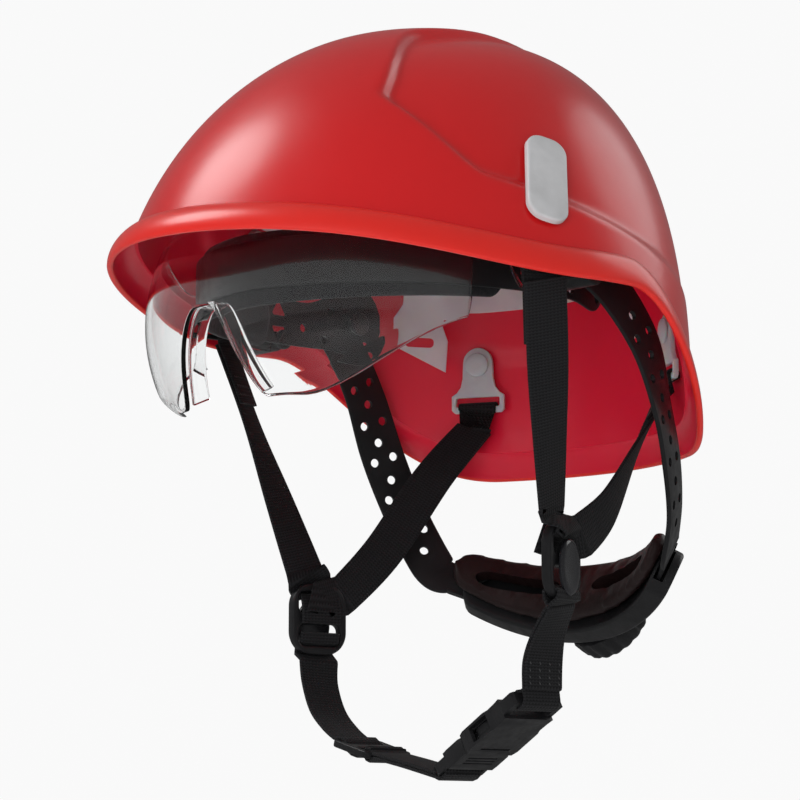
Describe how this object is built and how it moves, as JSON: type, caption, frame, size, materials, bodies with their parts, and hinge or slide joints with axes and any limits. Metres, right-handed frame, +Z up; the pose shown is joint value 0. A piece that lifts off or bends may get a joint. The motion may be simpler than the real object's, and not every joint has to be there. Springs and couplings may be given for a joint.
{
  "type": "climbing helmet",
  "caption": "Climbing helmet with smooth hard shell, milky suspension cradle, ratchet headband, nape pad, retractable clear visor and four-point chin strap with side-release buckle.",
  "frame": {"origin": "centre of the headband opening at brow level, where the wearer's head sits", "axes": "+Z up through the crown, the brow and visor face -Y, the wearer's left side is +X"},
  "size_m": [0.2352, 0.2671, 0.3185],
  "materials": {
    "shell_red": "glossy moulded shell, red outside and in",
    "cover_grey": "smooth satin light grey",
    "milky_plastic": "translucent milky white, satin",
    "black_plastic": "moulded black, satin",
    "sweatband_textile": "dark grey brushed knit",
    "nape_pad_foam": "very dark brown soft pad, slightly glossy skin",
    "clear_visor": "clear polycarbonate, glossy",
    "webbing": "woven black polyester webbing"
  },
  "bodies": {
    "root": {"buckle_female": "black_plastic", "chin_strap_right": "webbing", "cradle": "milky_plastic", "divider_left": "black_plastic", "divider_right": "black_plastic", "front_anchor_left": "black_plastic", "front_anchor_right": "black_plastic", "front_strap_left": "webbing", "front_strap_right": "webbing", "headband_front": "black_plastic", "ladder_lock": "black_plastic", "lower_strap_left": "webbing", "lower_strap_right": "webbing", "nape_housing": "black_plastic", "nape_pad": "nape_pad_foam", "nape_strap_left": "black_plastic", "nape_strap_right": "black_plastic", "rear_anchor_left": "milky_plastic", "rear_anchor_right": "milky_plastic", "rear_peg_left": "milky_plastic", "rear_peg_right": "milky_plastic", "rear_strap_left": "webbing", "rear_strap_right": "webbing", "shell": "shell_red", "slot_cover_left": "cover_grey", "slot_cover_right": "cover_grey", "sweatband": "sweatband_textile", "temple_peg_left": "black_plastic", "temple_peg_right": "black_plastic", "visor_pivot_left": "black_plastic", "visor_pivot_right": "black_plastic"},
    "visor": {"visor_lens": "clear_visor", "nose_bridge": "clear_visor"},
    "knob": {"knob": "black_plastic", "pinion": "black_plastic"},
    "rack_left": {"rack_left": "black_plastic"},
    "rack_right": {"rack_right": "black_plastic"},
    "buckle_male": {"buckle_male": "black_plastic"},
    "prong_front": {"prong_front": "black_plastic"},
    "prong_rear": {"prong_rear": "black_plastic"},
    "divider_cam_left": {"divider_cam_left": "black_plastic"},
    "divider_cam_right": {"divider_cam_right": "black_plastic"}
  },
  "joints": [
    {"name": "visor_swing", "type": "hinge", "parent": "root", "child": "visor", "pos_m": [0, 0.01, 0.014], "axis": [-1, 0, 0], "range_deg": [0, 28]},
    {"name": "knob_turn", "type": "hinge", "parent": "root", "child": "knob", "pos_m": [0, 0.114, -0.1035], "axis": [0, 0.8387, -0.5446], "range_deg": [-90, 90]},
    {"name": "rack_left_draw", "type": "hinge", "parent": "root", "child": "rack_left", "pos_m": [0, 0.02846, -0.04795], "axis": [0, 0.5446, 0.8387], "range_deg": [-4.6, 4.6]},
    {"name": "rack_right_draw", "type": "hinge", "parent": "root", "child": "rack_right", "pos_m": [0, 0.02846, -0.04795], "axis": [0, 0.5446, 0.8387], "range_deg": [-4.6, 4.6]},
    {"name": "buckle_slide", "type": "slide", "parent": "root", "child": "buckle_male", "axis": [-0.8689, 0, -0.495], "range_m": [0, 0.026], "deforming": ["chin_strap_right"]},
    {"name": "prong_rear_squeeze", "type": "hinge", "parent": "buckle_male", "child": "prong_rear", "pos_m": [0.03346, 0.028, -0.16883], "axis": [0.495, 0, -0.8689], "range_deg": [0, 8], "stiffness_Nm_per_rad": 0.05},
    {"name": "prong_front_squeeze", "type": "hinge", "parent": "buckle_male", "child": "prong_front", "pos_m": [0.03346, 0.012, -0.16883], "axis": [-0.495, 0, 0.8689], "range_deg": [0, 8], "stiffness_Nm_per_rad": 0.05},
    {"name": "divider_cam_left_open", "type": "hinge", "parent": "root", "child": "divider_cam_left", "pos_m": [0.0827, 0.02138, -0.089], "axis": [0.3489, -0.9372, 0], "range_deg": [0, 70]},
    {"name": "divider_cam_right_open", "type": "hinge", "parent": "root", "child": "divider_cam_right", "pos_m": [-0.08093, 0.0214, -0.103], "axis": [0.1005, 0.9949, 0], "range_deg": [0, 70]}
  ],
  "couplings": [
    {"joint": "rack_left_draw", "follows": "knob_turn", "ratio": -0.04902},
    {"joint": "rack_right_draw", "follows": "knob_turn", "ratio": 0.04902}
  ]
}
